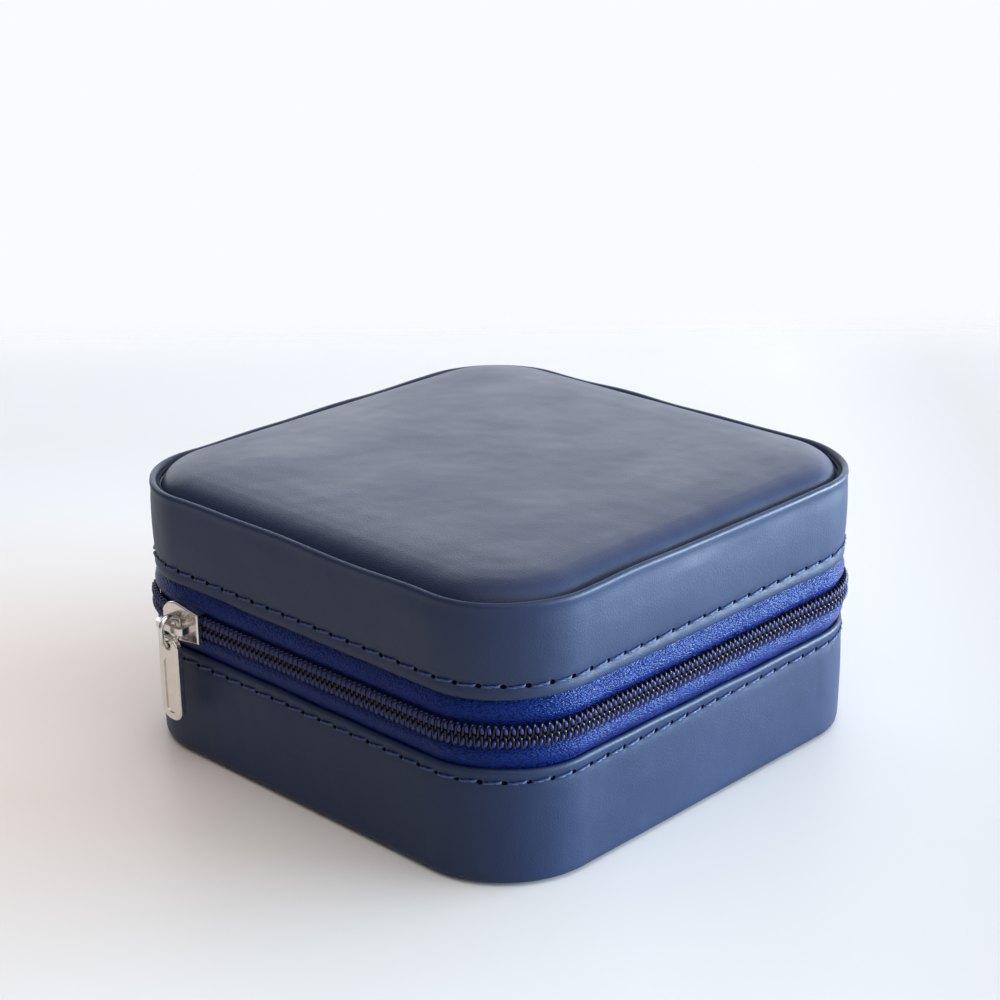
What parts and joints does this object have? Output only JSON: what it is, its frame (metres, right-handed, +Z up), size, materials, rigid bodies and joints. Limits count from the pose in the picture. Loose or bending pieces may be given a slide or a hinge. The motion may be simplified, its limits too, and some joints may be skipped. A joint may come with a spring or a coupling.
{
  "type": "travel jewelry case",
  "caption": "Small square zip-round case with rounded corners, a padded hinged lid, velvet ring rolls, lift-out dividers and a pull-tab zip slider.",
  "frame": {"origin": "centre of the flat bottom face", "axes": "+Z up; the cloth hinge runs along the +Y side; the zip slider is parked on the -X side; millimetres in the source, metres in the row"},
  "size_m": [0.1033, 0.0968, 0.0502],
  "materials": {
    "navy_leather": "smooth grained",
    "zip_tape": "woven",
    "zip_coil": "satin",
    "velvet": "velvet",
    "board": "matte",
    "foam": "soft foam",
    "nickel": "polished nickel",
    "elastic": "ribbed elastic"
  },
  "bodies": {
    "base": {"base_panel": "navy_leather", "base_card": "board", "base_band": "navy_leather", "base_shell": "board", "base_liner": "velvet", "base_floor_pad": "velvet", "zip_tape_lower": "zip_tape", "zip_coil_lower": "zip_coil", "hinge_leather_lower": "navy_leather", "hinge_lining_lower": "velvet", "ring_roll_1": "velvet", "ring_roll_2": "velvet", "ring_roll_3": "velvet", "ring_roll_4": "velvet", "ring_roll_5": "velvet", "ring_roll_6": "velvet", "ring_roll_7": "velvet", "main_divider": "velvet"},
    "lid": {"lid_band": "navy_leather", "lid_shell": "board", "lid_foam": "foam", "lid_panel": "navy_leather", "lid_liner": "velvet", "lid_ceiling_pad": "velvet", "zip_tape_upper": "zip_tape", "zip_coil_upper": "zip_coil", "hinge_leather_upper": "navy_leather", "hinge_lining_upper": "velvet", "necklace_strip": "navy_leather", "snap_studs": "nickel", "chain_pocket": "velvet", "pocket_elastic": "elastic"},
    "slider": {"slider_body": "nickel", "slider_crown": "nickel"},
    "pull_ring": {"pull_link": "nickel"},
    "pull": {"pull_tab": "nickel"},
    "front_divider": {"cross_divider_front": "velvet"},
    "back_divider": {"cross_divider_back": "velvet"},
    "left_tab": {"necklace_tab_left": "navy_leather", "snap_cap_left": "nickel"},
    "middle_tab": {"necklace_tab_middle": "navy_leather", "snap_cap_middle": "nickel"},
    "right_tab": {"necklace_tab_right": "navy_leather", "snap_cap_right": "nickel"}
  },
  "joints": [
    {"name": "lid_hinge", "type": "hinge", "parent": "base", "child": "lid", "pos_m": [0, 0.04805, 0.0262], "axis": [-1, 0, 0], "range_deg": [0, 180]},
    {"name": "slider_travel", "type": "slide", "parent": "base", "child": "slider", "axis": [0, -1, 0], "range_m": [0, 0.054]},
    {"name": "pull_ring_swing", "type": "hinge", "parent": "slider", "child": "pull_ring", "pos_m": [-0.05225, 0.028, 0.0262], "axis": [0, 1, 0], "range_deg": [0, 170]},
    {"name": "pull_swing", "type": "hinge", "parent": "pull_ring", "child": "pull", "pos_m": [-0.05225, 0.028, 0.023], "axis": [1, 0, 0], "range_deg": [-75, 75]},
    {"name": "front_divider_lift", "type": "slide", "parent": "base", "child": "front_divider", "axis": [0, 0, 1], "range_m": [0, 0.012]},
    {"name": "back_divider_lift", "type": "slide", "parent": "base", "child": "back_divider", "axis": [0, 0, 1], "range_m": [0, 0.012]},
    {"name": "left_tab_fold", "type": "hinge", "parent": "lid", "child": "left_tab", "pos_m": [-0.023, -0.0385, 0.04205], "axis": [-1, 0, 0], "range_deg": [0, 90]},
    {"name": "middle_tab_fold", "type": "hinge", "parent": "lid", "child": "middle_tab", "pos_m": [0, -0.0385, 0.04205], "axis": [-1, 0, 0], "range_deg": [0, 90]},
    {"name": "right_tab_fold", "type": "hinge", "parent": "lid", "child": "right_tab", "pos_m": [0.023, -0.0385, 0.04205], "axis": [-1, 0, 0], "range_deg": [0, 90]}
  ]
}
